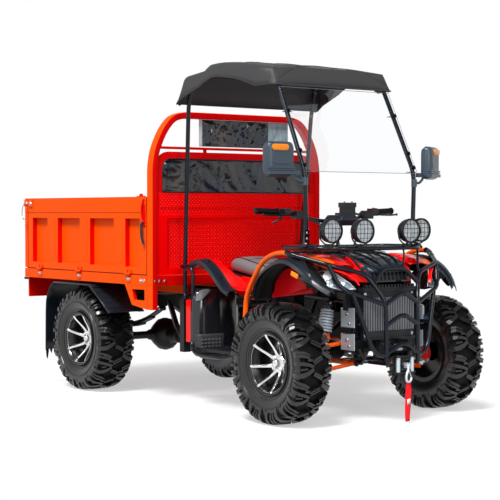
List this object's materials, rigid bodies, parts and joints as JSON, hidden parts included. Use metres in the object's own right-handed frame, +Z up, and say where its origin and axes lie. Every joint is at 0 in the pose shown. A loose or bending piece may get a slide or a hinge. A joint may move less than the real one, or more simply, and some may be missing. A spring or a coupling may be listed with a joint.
{
  "type": "utility quad bike",
  "caption": "Farm quad bike with a roof, a bull bar and a tipping cargo bed with drop sides.",
  "frame": {"origin": "ground, under the middle of the bounding box", "axes": "+X forward, +Y to the rider's left, +Z up"},
  "size_m": [3.0671, 1.315, 1.948],
  "materials": {
    "body_red": "gloss",
    "bed_orange": "gloss",
    "tube_black": "satin",
    "plastic_black": "textured",
    "tyre_rubber": "moulded lugs",
    "rim_alloy": "machined and painted",
    "bright_steel": "satin",
    "dark_casting": "as cast",
    "seat_vinyl": "grained vinyl",
    "spring_white": "gloss",
    "clear_sheet": "clear",
    "window_film": "dark film",
    "lamp_lens": "clear",
    "strap_webbing": "woven"
  },
  "bodies": {
    "chassis": {"front_body": "body_red", "tank_cover": "body_red", "rear_fender": "body_red", "lower_arm_right": "bed_orange", "lower_arm_left": "bed_orange", "upper_arm_right": "bed_orange", "upper_arm_left": "bed_orange", "guard_tube_right": "bed_orange", "guard_tube_left": "bed_orange", "chassis_frame": "tube_black", "bull_bar": "tube_black", "front_rack": "tube_black", "rear_post_right": "tube_black", "rear_post_left": "tube_black", "front_post_right": "tube_black", "front_post_left": "tube_black", "rear_mudguard_right": "plastic_black", "rear_mudguard_left": "plastic_black", "front_flare_right": "plastic_black", "front_flare_left": "plastic_black", "leg_guard_right": "plastic_black", "leg_guard_left": "plastic_black", "radiator_grille": "plastic_black", "roof": "plastic_black", "mirror_right": "plastic_black", "mirror_left": "plastic_black", "front_half_shafts": "plastic_black", "winch": "bright_steel", "engine_block": "dark_casting", "rear_axle": "dark_casting", "seat": "seat_vinyl", "front_shock_right": "spring_white", "front_shock_left": "spring_white", "windscreen": "clear_sheet", "headlight_right": "lamp_lens", "headlight_left": "lamp_lens", "winch_strap": "strap_webbing"},
    "steering": {"handlebar": "tube_black"},
    "bed": {"bed_frame": "bed_orange", "headboard": "body_red", "window_lower": "window_film", "window_upper": "window_film"},
    "tailgate": {"tailgate": "bed_orange"},
    "knuckle_right": {"knuckle_right": "dark_casting"},
    "wheel_front_right": {"tyre_front_right": "tyre_rubber", "rim_front_right": "rim_alloy"},
    "wheel_rear_right": {"tyre_rear_right": "tyre_rubber", "rim_rear_right": "rim_alloy"},
    "drop_side_right": {"drop_side_right": "bed_orange"},
    "knuckle_left": {"knuckle_left": "dark_casting"},
    "wheel_front_left": {"tyre_front_left": "tyre_rubber", "rim_front_left": "rim_alloy"},
    "wheel_rear_left": {"tyre_rear_left": "tyre_rubber", "rim_rear_left": "rim_alloy"},
    "drop_side_left": {"drop_side_left": "bed_orange"}
  },
  "joints": [
    {"name": "steering", "type": "hinge", "parent": "chassis", "child": "steering", "pos_m": [0.9195, 0, 1.05], "axis": [-0.2534, 0, 0.9674], "range_deg": [-28, 28]},
    {"name": "bed_tip", "type": "hinge", "parent": "chassis", "child": "bed", "pos_m": [-1.4005, 0, 0.615], "axis": [0, -1, 0], "range_deg": [0, 45]},
    {"name": "tailgate", "type": "hinge", "parent": "bed", "child": "tailgate", "pos_m": [-1.5255, 0, 0.738], "axis": [0, -1, 0], "range_deg": [0, 150]},
    {"name": "knuckle_right", "type": "hinge", "parent": "chassis", "child": "knuckle_right", "pos_m": [1.1345, -0.43, 0.3175], "axis": [0, 0, 1], "range_deg": [-28, 28]},
    {"name": "wheel_front_right", "type": "hinge", "parent": "knuckle_right", "child": "wheel_front_right", "pos_m": [1.1345, -0.545, 0.3175], "axis": [0, 1, 0], "continuous": true},
    {"name": "wheel_rear_right", "type": "hinge", "parent": "chassis", "child": "wheel_rear_right", "pos_m": [-0.7805, -0.54, 0.3175], "axis": [0, 1, 0], "continuous": true},
    {"name": "drop_side_right", "type": "hinge", "parent": "bed", "child": "drop_side_right", "pos_m": [-0.7805, -0.635, 0.738], "axis": [1, 0, 0], "range_deg": [0, 150]},
    {"name": "knuckle_left", "type": "hinge", "parent": "chassis", "child": "knuckle_left", "pos_m": [1.1345, 0.43, 0.3175], "axis": [0, 0, 1], "range_deg": [-28, 28]},
    {"name": "wheel_front_left", "type": "hinge", "parent": "knuckle_left", "child": "wheel_front_left", "pos_m": [1.1345, 0.545, 0.3175], "axis": [0, 1, 0], "continuous": true},
    {"name": "wheel_rear_left", "type": "hinge", "parent": "chassis", "child": "wheel_rear_left", "pos_m": [-0.7805, 0.54, 0.3175], "axis": [0, 1, 0], "continuous": true},
    {"name": "drop_side_left", "type": "hinge", "parent": "bed", "child": "drop_side_left", "pos_m": [-0.7805, 0.635, 0.738], "axis": [-1, 0, 0], "range_deg": [0, 150]}
  ],
  "couplings": [
    {"joint": "knuckle_left", "follows": "knuckle_right", "ratio": 1},
    {"joint": "steering", "follows": "knuckle_right", "ratio": 1}
  ]
}
